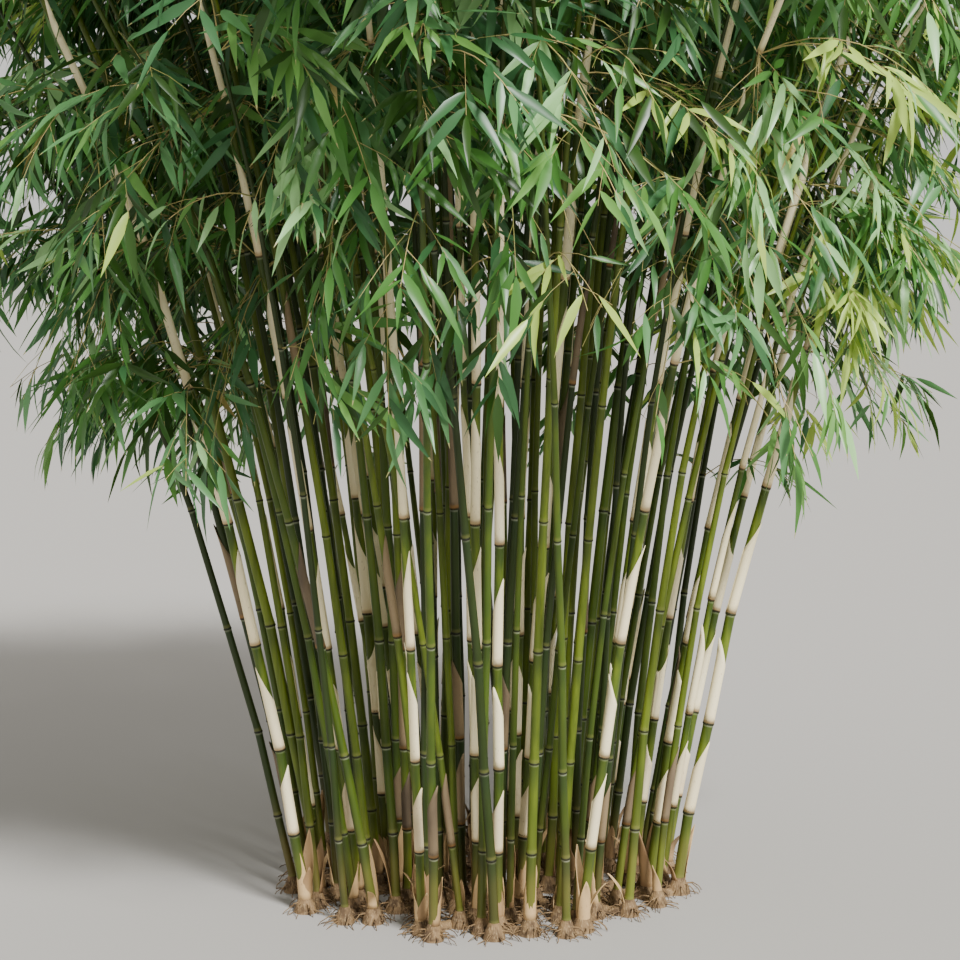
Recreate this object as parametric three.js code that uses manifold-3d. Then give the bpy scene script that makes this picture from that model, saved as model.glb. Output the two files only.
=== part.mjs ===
// A clump-forming garden bamboo, rooted in the ground: jointed canes that fan out from one low root
// crown, and leafy masses that make its fountain-shaped crown from knee height to the top.
// Millimetres, +Z up, front towards -Y. The origin is on the flat ground cut under the middle cane.
import * as THREE from "three";
import { mergeVertices } from "three/addons/utils/BufferGeometryUtils.js";
import Module from "manifold-3d";

// The clump at ground level
const CANE_COUNT = 36;
const CLUMP_RADIUS = 330;
const GOLDEN_ANGLE = Math.PI * (3 - Math.sqrt(5));
const CANE_SEED = 11;

// The canes: lengths along the cane, leans from the vertical in degrees
const TALLEST_CANE = 2480;
const SHORTEST_CANE = 1880;
const LENGTH_JITTER = 0.1;
const MEAN_INTERNODE = 180;
const SHORTEST_INTERNODE_SHARE = 0.3;
const FOOT_LEAN = 9;
const ARCH_LEAN = 18;
const NOD_LEAN = 34;
const NOD_AT_MIDDLE_SHARE = 0.4;
const NOD_POWER = 5;
const LEAN_JITTER = 2.5;
const AZIMUTH_JITTER = 0.3;
const THINNEST_FOOT = 6.6;
const THICKEST_FOOT = 9.2;
const TIP_SHARE = 0.18;
const TAPER_POWER = 1.4;
const CANE_SIDES = 5;
const JOINTS_PER_STEP = 2;

// This year's canes still wear pale sheaths. They stand along the front right edge, with a few elsewhere.
const YOUNG_EDGE_AZIMUTH = -60;
const YOUNG_EDGE_DISTANCE = 170;
const STRAY_YOUNG_STEP = 6;
const STRAY_YOUNG_FIRST = 3;

// The root crown: a knuckle under each cane, tied to the next by a short neck
const KNUCKLE_HEIGHT = 24;
const KNUCKLE_FOOT_RADIUS = 21;
const KNUCKLE_TOP_RADIUS = 12;
const KNUCKLE_SIDES = 5;
const NECK_SIDES = 3;
const NECK_RADIUS = 18;

// The crown's outline: how far the foliage reaches from the axis, from its lowest spray to its top
const CROWN_BOTTOM = 600;
const LOWEST_REACH = 680;
const WIDEST_HEIGHT = 1850;
const WIDEST_REACH = 1220;
const CROWN_TOP = 2760;
const VASE_POWER = 1.3;

// The leafy masses stand in tiers round the canes, and their stems point outwards at a pitch in degrees
const TIERS = [
  { name: "skirt", count: 7, radius: 590, height: 900, turn: 0.25, pitch: -10 },
  { name: "shoulder", count: 6, radius: 750, height: 1360, turn: 0.75, pitch: 0 },
  { name: "canopy", count: 6, radius: 830, height: 1860, turn: 0.3, pitch: 20 },
  { name: "top", count: 3, radius: 430, height: 2280, turn: 0.6, pitch: 40 },
  { name: "crest", count: 1, radius: 0, height: 2480, turn: 0, pitch: 90 },
];
const MASS_SEED = 71;
const CELL_MARGIN = 4;
const LIMB_CLEARANCE = 3;
const JOINT_GAP = 0.3;
const FLATNESS = 0.02;
const MERGE_DISTANCE = 0.001;

// One mass: a stem, twigs that leave it in turn, and a fan of leaves along each twig
const STEM_SET_BACK = 260;
const STEM_DROP = 120;
const STEM_OVERRUN = 190;
const STEM_SAG = 80;
const STEM_ROOT_RADIUS = 5;
const STEM_TIP_RADIUS = 2.4;
const STEM_STEPS = 3;
const TWIG_COUNT = 8;
const TWIG_LENGTH = 330;
const TWIG_SHORTENINGS = [1, 0.75, 0.5];
const TWIG_FORWARD = 0.45;
const TWIG_JITTER = 0.6;
const TWIG_SAG = 60;
const TWIG_RADIUS = 3.6;
const TWIG_TIP_RADIUS = 2.6;
const TWIG_SIDES = 3;
const TWIG_STEPS = 2;
const FIRST_TWIG_SHARE = 0.35;
const LAST_TWIG_SHARE = 0.97;
const LEAVES_PER_MASS = 19;
const LEAVES_PER_TWIG = 7;
const FIRST_LEAF_SHARE = 0.3;
const LAST_LEAF_SHARE = 0.97;

// One leaf: the turns and droops it tries until it has room, its largest roll in radians, and its shape
const LEAF_TURNS = [0.8, 0.3, 1.8, -0.5];
const LEAF_DROOPS = [0.6, 1.4, 0, 3];
const LEAF_ROLL = 2.4;
const LEAF_LENGTH = 270;
const LEAF_WIDTH = 76;
const LEAF_THICKNESS = 3;
const LEAF_SUNK = 1.2;
const LEAF_WIDEST = 0.42;
const LEAF_RIDGE = 0.08;
const LEAF_SPACING = 26;
const SAMPLES = 16;
const SAMPLES_AT_ROOT = 4;

const UP = new THREE.Vector3(0, 0, 1);
const DEGREE = Math.PI / 180;
const wasm = await Module();
wasm.setup();

// A linear congruential generator: its whole numbers stay exact, so each run draws the same values.
function seededRandom(seed) {
  const range = 2 ** 32;
  let state = (seed * 2654435761) % range;
  const draw = () => {
    state = (state * 1664525 + 1013904223) % range;
    return state / range;
  };
  draw();
  return draw;
}

const mix = THREE.MathUtils.lerp;

function polar(radius, azimuth, height) {
  return new THREE.Vector3(radius * Math.cos(azimuth), radius * Math.sin(azimuth), height);
}

// Solids and the geometry that goes in and out of them
function solidFrom(geometry) {
  const bare = new THREE.BufferGeometry();
  bare.setAttribute("position", geometry.getAttribute("position"));
  bare.setIndex(geometry.index);
  const merged = mergeVertices(bare, MERGE_DISTANCE);
  const mesh = new wasm.Mesh({
    numProp: 3,
    vertProperties: merged.attributes.position.array,
    triVerts: new Uint32Array(merged.index.array),
  });
  return new wasm.Manifold(mesh);
}

// Flat faces that the joining split up are made whole again, and a loose scrap is dropped.
function inOneBody(solid) {
  const bodies = solid.asOriginal().simplify(FLATNESS).decompose();
  bodies.sort((a, b) => b.volume() - a.volume());
  return bodies[0];
}

function geometryFrom(solid) {
  const mesh = solid.getMesh();
  const geometry = new THREE.BufferGeometry();
  geometry.setAttribute("position", new THREE.BufferAttribute(mesh.vertProperties, mesh.numProp));
  geometry.setIndex(new THREE.BufferAttribute(mesh.triVerts, 1));
  geometry.computeVertexNormals();
  return geometry;
}

// A cylinder bent along the stations, each with a point, a direction, one across it and a radius.
function limbGeometry(stations, sides) {
  const steps = stations.length - 1;
  const geometry = new THREE.CylinderGeometry(1, 1, 1, sides, steps);
  const position = geometry.getAttribute("position");
  for (let i = 0; i < position.count; i += 1) {
    const station = stations[Math.round((position.getY(i) + 0.5) * steps)];
    const across = station.across.clone().projectOnPlane(station.direction).normalize();
    const third = across.clone().cross(station.direction);
    const point = station.point.clone();
    point.addScaledVector(across, position.getX(i) * station.radius);
    point.addScaledVector(third, position.getZ(i) * station.radius);
    position.setXYZ(i, point.x, point.y, point.z);
  }
  return geometry;
}

// Canes
function caneJoints(length) {
  const joints = Math.round(length / MEAN_INTERNODE);
  const shares = [];
  for (let k = 0; k < joints; k += 1) {
    const swell = Math.sin((Math.PI * (k + 1)) / (joints + 2));
    shares.push(mix(SHORTEST_INTERNODE_SHARE, 1, swell));
  }
  const total = shares.reduce((sum, share) => sum + share, 0);
  return shares.map((share) => (share / total) * length);
}

// The joints of one cane from its foot to its tip. Canes stand as sunflower seeds do, lean outwards
// more the further out they stand, and nod at the tip.
function growCane(index) {
  const random = seededRandom(CANE_SEED + index);
  const spread = Math.sqrt(index / (CANE_COUNT - 1));
  const azimuth = index * GOLDEN_ANGLE + AZIMUTH_JITTER * (random() - 0.5);
  const heading = azimuth + AZIMUTH_JITTER * (random() - 0.5);
  const evenLength = mix(TALLEST_CANE, SHORTEST_CANE, spread ** 2);
  const length = evenLength * (1 + LENGTH_JITTER * (random() - 0.5));
  const footRadius = mix(THINNEST_FOOT, THICKEST_FOOT, random());
  const extraLean = LEAN_JITTER * (random() - 0.5);
  const across = polar(1, heading + Math.PI / 2, 0);
  const point = polar(CLUMP_RADIUS * spread, azimuth, KNUCKLE_HEIGHT + JOINT_GAP);
  const stations = [{ point: point.clone(), direction: UP, across, radius: footRadius }];
  let travelled = 0;
  for (const internode of caneJoints(length)) {
    const middle = (travelled + internode / 2) / length;
    const nod = NOD_LEAN * mix(NOD_AT_MIDDLE_SHARE, 1, spread) * middle ** NOD_POWER;
    const lean = (FOOT_LEAN * spread + ARCH_LEAN * spread * middle + nod + extraLean) * DEGREE;
    const direction = polar(Math.sin(lean), heading, Math.cos(lean));
    point.addScaledVector(direction, internode);
    travelled += internode;
    const taper = 1 - (1 - TIP_SHARE) * (travelled / length) ** TAPER_POWER;
    stations.push({ point: point.clone(), direction, across, radius: footRadius * taper });
  }
  return stations;
}

function isYoung(index, foot) {
  const azimuth = YOUNG_EDGE_AZIMUTH * DEGREE;
  const towardsEdge = foot.x * Math.cos(azimuth) + foot.y * Math.sin(azimuth);
  return towardsEdge > YOUNG_EDGE_DISTANCE || index % STRAY_YOUNG_STEP === STRAY_YOUNG_FIRST;
}

// Every second joint is enough for the faceted solid; foot and tip always stay.
function caneStations(joints) {
  const last = joints.length - 1;
  return joints.filter((_, k) => k === last || (k % JOINTS_PER_STEP === 0 && k < last - 1));
}

function swollen(stations, extra) {
  return stations.map((station) => ({ ...station, radius: station.radius + extra }));
}

// Root crown
function nearestOlder(feet, index) {
  const older = feet.slice(0, index);
  const distances = older.map((foot) => foot.distanceTo(feet[index]));
  return older[distances.indexOf(Math.min(...distances))];
}

function knuckle(foot) {
  const geometry = new THREE.CylinderGeometry(
    KNUCKLE_TOP_RADIUS,
    KNUCKLE_FOOT_RADIUS,
    KNUCKLE_HEIGHT,
    KNUCKLE_SIDES,
  );
  geometry.rotateX(Math.PI / 2).rotateZ(foot.x + foot.y);
  geometry.translate(foot.x, foot.y, KNUCKLE_HEIGHT / 2);
  return solidFrom(geometry);
}

function neck(from, to) {
  const direction = to.clone().sub(from).normalize();
  const ends = [from, to].map((foot) => {
    const point = new THREE.Vector3(foot.x, foot.y, 0);
    return { point, direction, across: UP, radius: NECK_RADIUS };
  });
  return solidFrom(limbGeometry(ends, NECK_SIDES));
}

function buildRootCrown(feet) {
  const pieces = feet.map(knuckle);
  for (let i = 1; i < feet.length; i += 1) pieces.push(neck(nearestOlder(feet, i), feet[i]));
  const depth = 2 * NECK_RADIUS;
  const below = new THREE.BoxGeometry(4 * CLUMP_RADIUS, 4 * CLUMP_RADIUS, depth);
  below.translate(0, 0, -depth / 2);
  return inOneBody(wasm.Manifold.union(pieces).subtract(solidFrom(below)));
}

// Leafy masses
function massCentres() {
  const centres = [];
  for (const tier of TIERS) {
    for (let i = 0; i < tier.count; i += 1) {
      const azimuth = ((i + tier.turn) / tier.count) * 2 * Math.PI;
      const centre = polar(tier.radius, azimuth, tier.height);
      const pitch = tier.pitch * DEGREE;
      const outward = polar(Math.cos(pitch), azimuth, Math.sin(pitch));
      centres.push({ name: `${tier.name}_foliage_${i + 1}`, centre, outward });
    }
  }
  return centres;
}

// Stations at even steps along a curve. Across is level, square to the run of the whole curve.
function stationsAlong(curve, steps, rootRadius, tipRadius) {
  const across = curve.getPoint(1).sub(curve.getPoint(0)).cross(UP).normalize();
  return Array.from({ length: steps + 1 }, (_, i) => {
    const share = i / steps;
    const radius = mix(rootRadius, tipRadius, share);
    return { point: curve.getPointAt(share), direction: curve.getTangentAt(share), across, radius };
  });
}

function arching(start, end, rise) {
  const control = start.clone().lerp(end, 0.5).addScaledVector(UP, rise);
  return new THREE.QuadraticBezierCurve3(start, control, end);
}

// A limb's bones are its straight stretches, each with the radius of its thicker end.
function bonesOf(stations) {
  return stations.slice(1).map((station, k) => {
    const before = stations[k];
    return { line: new THREE.Line3(before.point, station.point), radius: before.radius };
  });
}

// How far a point lies from the surface of the nearest bone.
function gapToBones(point, bones) {
  const nearest = new THREE.Vector3();
  let gap = Infinity;
  for (const { line, radius } of bones) {
    line.closestPointToPoint(point, true, nearest);
    gap = Math.min(gap, nearest.distanceTo(point) - radius);
  }
  return gap;
}

// The crown narrows downwards like a vase and closes upwards like a dome.
function crownReach(height) {
  if (height > WIDEST_HEIGHT) {
    const rise = Math.min(1, (height - WIDEST_HEIGHT) / (CROWN_TOP - WIDEST_HEIGHT));
    return WIDEST_REACH * Math.sqrt(1 - rise ** 2);
  }
  const drop = (WIDEST_HEIGHT - height) / (WIDEST_HEIGHT - CROWN_BOTTOM);
  return mix(WIDEST_REACH, LOWEST_REACH, drop ** VASE_POWER);
}

// How far a point lies inside the crown and inside a mass's own cell, halfway to the other masses.
function depthInCell(point, own, masses) {
  let depth = Math.min(point.z - CROWN_BOTTOM, crownReach(point.z) - Math.hypot(point.x, point.y));
  for (const other of masses) {
    if (other === own) continue;
    const middle = own.centre.clone().add(other.centre).multiplyScalar(0.5);
    const towards = other.centre.clone().sub(own.centre).normalize();
    depth = Math.min(depth, middle.sub(point).dot(towards));
  }
  return depth;
}

// Samples are points along a limb or a leaf, each with its half width there.
function samplesBetween(start, end, halfWidthAt) {
  return Array.from({ length: SAMPLES }, (_, i) => {
    const share = i / (SAMPLES - 1);
    return { point: start.clone().lerp(end, share), halfWidth: halfWidthAt(share) };
  });
}

function samplesAlong(stations) {
  return stations.slice(1).flatMap((station, k) => {
    const before = stations[k];
    return samplesBetween(before.point, station.point, () => before.radius);
  });
}

function clearOf(samples, bones) {
  return samples.every(({ point, halfWidth }) => gapToBones(point, bones) > halfWidth + LIMB_CLEARANCE);
}

function fits(samples, own, masses, bones) {
  const inside = samples.every(
    ({ point, halfWidth }) => depthInCell(point, own, masses) > halfWidth + CELL_MARGIN,
  );
  return inside && clearOf(samples, bones);
}

// The straight stretches of a faceted limb, as one path.
function pathAlong(stations) {
  const path = new THREE.CurvePath();
  stations.slice(1).forEach((station, k) => {
    path.add(new THREE.LineCurve3(stations[k].point, station.point));
  });
  return path;
}

// The stem of a mass leaves the nearest cane from which it runs clear of all other limbs.
function planStem(mass, canes, stems) {
  const wanted = mass.centre.clone().addScaledVector(mass.outward, -STEM_SET_BACK);
  wanted.z -= STEM_DROP;
  const end = mass.centre.clone().addScaledVector(mass.outward, STEM_OVERRUN);
  end.z -= STEM_SAG;
  const roots = canes.flatMap((carrier) =>
    carrier.slice(1, -1).map(({ point }) => ({ carrier, point, distance: point.distanceTo(wanted) })),
  );
  roots.sort((a, b) => a.distance - b.distance);
  for (const { carrier, point } of roots) {
    const curve = arching(point, end, 2 * STEM_SAG);
    const stations = stationsAlong(curve, STEM_STEPS, STEM_ROOT_RADIUS, STEM_TIP_RADIUS);
    const others = [...canes.filter((cane) => cane !== carrier), ...stems.map((stem) => stem.stations)];
    if (clearOf(samplesAlong(stations), others.flatMap(bonesOf))) return { carrier, stations };
  }
  throw new Error(`no cane can carry ${mass.name}`);
}

// A leaf is a low pyramid on a long diamond: root and tip, two sides at its widest, and a ridge point
// near the root, where it is thickest.
function leafGeometry(root, direction, side) {
  const geometry = new THREE.ConeGeometry(1, 1, 4);
  const position = geometry.getAttribute("position");
  const normal = direction.clone().cross(side).normalize();
  for (let i = 0; i < position.count; i += 1) {
    const raised = position.getY(i) > 0;
    const ends = Math.round(position.getZ(i));
    const middle = raised ? LEAF_RIDGE : LEAF_WIDEST;
    const along = ends === 0 ? middle : (ends + 1) / 2;
    const point = root.clone().addScaledVector(direction, along * LEAF_LENGTH);
    point.addScaledVector(side, (Math.round(position.getX(i)) * LEAF_WIDTH) / 2);
    if (raised) point.addScaledVector(normal, LEAF_THICKNESS);
    position.setXYZ(i, point.x, point.y, point.z);
  }
  return geometry;
}

function leafHalfWidth(share) {
  const narrowing = share < LEAF_WIDEST ? share / LEAF_WIDEST : (1 - share) / (1 - LEAF_WIDEST);
  return (narrowing * LEAF_WIDTH) / 2;
}

// Past its root, a leaf keeps away from the stem, twigs and leaves that its mass already has.
function crowded(samples, taken) {
  const nearest = new THREE.Vector3();
  const tooNear = (line, point) =>
    line.closestPointToPoint(point, true, nearest).distanceTo(point) < LEAF_SPACING;
  return taken.some((line) => samples.slice(SAMPLES_AT_ROOT).some(({ point }) => tooNear(line, point)));
}

// One leaf at a place on its twig, turned the first way in which it has room.
function growLeaf(twig, place, row, roll, room, taken) {
  const along = twig.getTangent(place);
  const sideways = along.clone().cross(UP).normalize();
  for (const droop of LEAF_DROOPS) {
    for (const turn of LEAF_TURNS) {
      const direction = along.clone().addScaledVector(sideways, turn * row).addScaledVector(UP, -droop);
      direction.normalize();
      const root = twig.getPoint(place).addScaledVector(direction, -LEAF_SUNK);
      const tip = root.clone().addScaledVector(direction, LEAF_LENGTH);
      const samples = samplesBetween(root, tip, leafHalfWidth);
      if (crowded(samples, taken) || !fits(samples, ...room)) continue;
      taken.push(new THREE.Line3(root, tip));
      const side = direction.clone().cross(UP).normalize().applyAxisAngle(direction, roll);
      return [solidFrom(leafGeometry(root, direction, side))];
    }
  }
  return [];
}

// A twig sets off round the stem in its turn, and is shortened until it has room.
function growTwig(stem, turn, random, room) {
  const share = mix(FIRST_TWIG_SHARE, LAST_TWIG_SHARE, turn / (TWIG_COUNT - 1));
  const start = stem.getPoint(share);
  const along = stem.getTangent(share);
  const spin = turn * GOLDEN_ANGLE + TWIG_JITTER * (random() - 0.5);
  const sideways = along.clone().cross(UP).normalize().applyAxisAngle(along, spin);
  const direction = sideways.addScaledVector(along, TWIG_FORWARD).normalize();
  for (const shortening of TWIG_SHORTENINGS) {
    const tip = start.clone().addScaledVector(direction, TWIG_LENGTH * shortening);
    tip.z -= TWIG_SAG;
    const curve = arching(start, tip, TWIG_SAG);
    const stations = stationsAlong(curve, TWIG_STEPS, TWIG_RADIUS, TWIG_TIP_RADIUS);
    if (fits(samplesAlong(stations), ...room)) return stations;
  }
  return null;
}

function growMass(own, index, masses, stems, canes) {
  const random = seededRandom(MASS_SEED + index);
  const stem = stems[index];
  const otherStems = stems.filter((other) => other !== stem).map((other) => other.stations);
  const room = [own, masses, [...canes, ...otherStems].flatMap(bonesOf)];
  const stemPath = pathAlong(stem.stations);
  const solids = [solidFrom(limbGeometry(stem.stations, TWIG_SIDES))];
  const taken = bonesOf(stem.stations).map((bone) => bone.line);
  let leafCount = 0;
  for (let turn = 0; turn < TWIG_COUNT && leafCount < LEAVES_PER_MASS; turn += 1) {
    const twig = growTwig(stemPath, turn, random, room);
    if (!twig) continue;
    const twigPath = pathAlong(twig);
    solids.push(solidFrom(limbGeometry(twig, TWIG_SIDES)));
    taken.push(...bonesOf(twig).map((bone) => bone.line));
    for (let k = 0; k < LEAVES_PER_TWIG; k += 1) {
      const place = mix(LAST_LEAF_SHARE, FIRST_LEAF_SHARE, k / (LEAVES_PER_TWIG - 1));
      const row = k % 2 === 0 ? 1 : -1;
      const roll = LEAF_ROLL * (random() - 0.5);
      const leaf = growLeaf(twigPath, place, row, roll, room, taken);
      solids.push(...leaf);
      leafCount += leaf.length;
    }
  }
  const clearance = JOINT_GAP / Math.cos(Math.PI / CANE_SIDES);
  const sleeve = solidFrom(limbGeometry(swollen(stem.carrier, clearance), CANE_SIDES));
  return inOneBody(wasm.Manifold.union(solids).subtract(sleeve));
}

// Colours
const greenCaneMaterial = new THREE.MeshStandardMaterial({ color: 0x5e6f2c, roughness: 0.45 });
const youngCaneMaterial = new THREE.MeshStandardMaterial({ color: 0xd9c7a0, roughness: 0.7 });
const crownMaterial = new THREE.MeshStandardMaterial({ color: 0xa88a5e, roughness: 0.85 });
const leafMaterial = new THREE.MeshStandardMaterial({ color: 0x3f7a3a, roughness: 0.55 });

function addMesh(group, name, solid, material) {
  const mesh = new THREE.Mesh(geometryFrom(solid), material);
  mesh.name = name;
  group.add(mesh);
}

const bamboo = new THREE.Group();
const canes = Array.from({ length: CANE_COUNT }, (_, i) => caneStations(growCane(i)));
addMesh(bamboo, "root_crown", buildRootCrown(canes.map((cane) => cane[0].point)), crownMaterial);
canes.forEach((stations, i) => {
  const name = `cane_${String(i + 1).padStart(2, "0")}`;
  const material = isYoung(i, stations[0].point) ? youngCaneMaterial : greenCaneMaterial;
  addMesh(bamboo, name, solidFrom(limbGeometry(stations, CANE_SIDES)), material);
});
const masses = massCentres();
const stems = [];
for (const mass of masses) stems.push(planStem(mass, canes, stems));
masses.forEach((mass, i) => {
  addMesh(bamboo, mass.name, growMass(mass, i, masses, stems, canes), leafMaterial);
});

export default bamboo;
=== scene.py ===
"""A clump of garden bamboo, rooted in the ground: jointed canes that fan out from one low root crown,
pale papery sheaths on this year's canes, and hanging sprays of slim leaves.
Metres, +Z up, the front of the clump towards -Y."""

import math
from collections import namedtuple
from itertools import pairwise

import bmesh
import bpy
import numpy as np
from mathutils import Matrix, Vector
from mathutils.kdtree import KDTree


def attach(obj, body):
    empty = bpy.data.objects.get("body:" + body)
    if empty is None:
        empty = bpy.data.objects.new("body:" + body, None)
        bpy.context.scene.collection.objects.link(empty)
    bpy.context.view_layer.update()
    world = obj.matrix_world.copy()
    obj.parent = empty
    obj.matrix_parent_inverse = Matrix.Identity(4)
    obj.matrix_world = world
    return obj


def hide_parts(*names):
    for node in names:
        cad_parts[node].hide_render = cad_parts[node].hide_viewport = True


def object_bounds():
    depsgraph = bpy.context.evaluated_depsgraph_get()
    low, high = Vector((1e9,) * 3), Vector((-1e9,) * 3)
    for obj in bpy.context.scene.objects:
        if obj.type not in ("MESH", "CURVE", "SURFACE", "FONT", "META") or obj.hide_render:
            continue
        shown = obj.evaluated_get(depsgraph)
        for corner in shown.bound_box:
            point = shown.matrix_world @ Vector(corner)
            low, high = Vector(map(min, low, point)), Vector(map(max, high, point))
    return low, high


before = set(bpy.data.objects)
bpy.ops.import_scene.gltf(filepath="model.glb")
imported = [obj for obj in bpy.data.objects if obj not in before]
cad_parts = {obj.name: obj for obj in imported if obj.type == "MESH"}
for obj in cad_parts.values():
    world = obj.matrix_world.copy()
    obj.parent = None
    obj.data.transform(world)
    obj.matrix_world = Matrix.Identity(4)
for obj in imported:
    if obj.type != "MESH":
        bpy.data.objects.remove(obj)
solid_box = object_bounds()

# The view. It looks level at the clump from the front, from a little over waist height, and so near
# that the crown runs past the top and both sides of the picture.
CAMERA_DISTANCE = 3.6
CAMERA_HEIGHT = 1.05
CAMERA_TILT = math.radians(6.2)
CAMERA_ANGLE = math.radians(24)


def put_in_scene(name, data):
    """An object with its data, linked to the scene."""
    thing = bpy.data.objects.new(name, data)
    bpy.context.scene.collection.objects.link(thing)
    return thing


camera = put_in_scene("camera", bpy.data.cameras.new("camera"))
camera.data.angle = CAMERA_ANGLE
camera.location = (0, -CAMERA_DISTANCE, CAMERA_HEIGHT)
camera.rotation_euler = (math.pi / 2 - CAMERA_TILT, 0, 0)
bpy.context.scene.camera = camera

# The canes' growth. Each cane rises from its own knuckle of the root crown, stands as a sunflower seed
# does among its neighbours, leans outwards the more the further out it stands, and nods at the tip.
CANE_COUNT = 36
CLUMP_RADIUS = 0.33
GOLDEN_ANGLE = math.pi * (3 - math.sqrt(5))
CANE_SEED = 11
FOOT_HEIGHT = 0.0243
CANE_LENGTHS = (2.48, 1.88)
LENGTH_JITTER = 0.1
MEAN_INTERNODE = 0.18
SHORTEST_INTERNODE_SHARE = 0.3
FOOT_LEAN = 9
ARCH_LEAN = 18
NOD_LEAN = 34
NOD_AT_MIDDLE_SHARE = 0.4
NOD_POWER = 5
LEAN_JITTER = 2.5
AZIMUTH_JITTER = 0.3
FOOT_RADII = (0.0066, 0.0092)
TIP_SHARE = 0.18
TAPER_POWER = 1.4
YOUNG_EDGE_AZIMUTH = math.radians(-60)
YOUNG_EDGE_DISTANCE = 0.17
STRAY_YOUNG_STEP = 6
STRAY_YOUNG_FIRST = 3
KINK = 0.3
KINK_SHARES = (0.3, 1)
KINK_SEED = 300

UP = Vector((0, 0, 1))
Joint = namedtuple("Joint", "point radius")
Cane = namedtuple("Cane", "joints spread young")


class Dice:
    """Seeded draws from 0 to 1 by a linear congruential generator, the same on every run."""

    RANGE = 2**32

    def __init__(self, seed):
        self.state = seed * 2654435761 % self.RANGE
        self.draw()

    def draw(self):
        self.state = (self.state * 1664525 + 1013904223) % self.RANGE
        return self.state / self.RANGE

    def between(self, low, high):
        return mix(low, high, self.draw())


def mix(low, high, share):
    return low + (high - low) * share


def polar(radius, azimuth, height):
    return Vector((radius * math.cos(azimuth), radius * math.sin(azimuth), height))


def at_level(point, height=0):
    """The place above or below a point at a height."""
    return Vector((point.x, point.y, height))


def by_turns(number):
    """1 and -1 by turns, for what stands on alternate sides."""
    return 1 if number % 2 else -1


def internodes(length):
    """The lengths between joints: short at the foot and the tip, longest in between."""
    count = math.floor(length / MEAN_INTERNODE + 0.5)
    swells = [math.sin(math.pi * (k + 1) / (count + 2)) for k in range(count)]
    shares = [mix(SHORTEST_INTERNODE_SHARE, 1, swell) for swell in swells]
    return [share / sum(shares) * length for share in shares]


def grow_cane(place, seed, lengths, radii, looseness=1):
    """One cane at a place in the spiral, with lengths (middle, edge) and foot radii (least, most)."""
    dice = Dice(seed)
    spread = math.sqrt(place / (CANE_COUNT - 1))
    azimuth = place * GOLDEN_ANGLE + AZIMUTH_JITTER * (dice.draw() - 0.5)
    heading = azimuth + AZIMUTH_JITTER * looseness * (dice.draw() - 0.5)
    length = mix(*lengths, spread**2) * (1 + LENGTH_JITTER * (dice.draw() - 0.5))
    foot_radius = mix(*radii, dice.draw())
    extra_lean = LEAN_JITTER * looseness * (dice.draw() - 0.5)
    point = polar(CLUMP_RADIUS * spread, azimuth, FOOT_HEIGHT)
    joints = [Joint(point.copy(), foot_radius)]
    travelled = 0
    for internode in internodes(length):
        middle = (travelled + internode / 2) / length
        nod = NOD_LEAN * mix(NOD_AT_MIDDLE_SHARE, 1, spread) * middle**NOD_POWER
        lean = math.radians(FOOT_LEAN * spread + ARCH_LEAN * spread * middle + nod + extra_lean)
        point = point + polar(math.sin(lean), heading, math.cos(lean)) * internode
        travelled += internode
        taper = 1 - (1 - TIP_SHARE) * (travelled / length) ** TAPER_POWER
        joints.append(Joint(point.copy(), foot_radius * taper))
    return joints, spread


def kinked(joints, seed):
    """The same cane with a slight bend at each joint, to one side and then to the other."""
    dice = Dice(seed)
    facing = dice.between(0, math.pi)
    bent = [joints[0]]
    for number, joint in enumerate(joints[1:]):
        shift = by_turns(number) * KINK * dice.between(*KINK_SHARES) * joint.radius
        bent.append(joint._replace(point=joint.point + polar(shift, facing, 0)))
    return bent


def is_young(index, foot):
    towards_edge = foot.x * math.cos(YOUNG_EDGE_AZIMUTH) + foot.y * math.sin(YOUNG_EDGE_AZIMUTH)
    return towards_edge > YOUNG_EDGE_DISTANCE or index % STRAY_YOUNG_STEP == STRAY_YOUNG_FIRST


main_canes = []
for index in range(CANE_COUNT):
    joints, spread = grow_cane(index, CANE_SEED + index, CANE_LENGTHS, FOOT_RADII)
    young = is_young(index, joints[0].point)
    main_canes.append(Cane(kinked(joints, KINK_SEED + index), spread, young))

# The slender canes. Between the main ones stand thinner and shorter ones, from a weaker bud or an
# earlier year, half a turn of the spiral on from their neighbours and clear of them all.
SLENDER_PLACES = [place + step for step in (0.5, 0.25, 0.75) for place in range(1, CANE_COUNT - 1)]
SLENDER_SEED = 500
SLENDER_TRIES = 40
SLENDER_LENGTHS = (2.15, 1.65)
SLENDER_RADII = (0.0054, 0.0078)
SLENDER_LOOSENESS = 3.8
SLENDER_COUNT = 98
CANE_SAMPLE = 0.03
CANE_CLEARANCE = 0.003
YOUNG_SLENDER_STEP = 5


def part_way(low, high, share):
    """The point and the radius of a cane at a share of the way between two joints."""
    return low.point.lerp(high.point, share), mix(low.radius, high.radius, share)


def at_height(low, high, height):
    """The point and the radius of a cane at a height between two joints."""
    return part_way(low, high, (height - low.point.z) / (high.point.z - low.point.z))


def samples_of(joints):
    """The points and radii every few centimetres along a cane."""
    samples = []
    for low, high in pairwise(joints):
        steps = math.ceil((high.point - low.point).length / CANE_SAMPLE)
        samples += [part_way(low, high, step / steps) for step in range(steps)]
    return samples


def clear_of(joints, others):
    """Whether a cane keeps clear of other canes at every height."""
    for point, radius in samples_of(joints):
        for other in others:
            for low, high in pairwise(other.joints):
                if low.point.z <= point.z < high.point.z:
                    near, near_radius = at_height(low, high, point.z)
                    if (near - point).length < radius + near_radius + CANE_CLEARANCE:
                        return False
    return True


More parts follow.
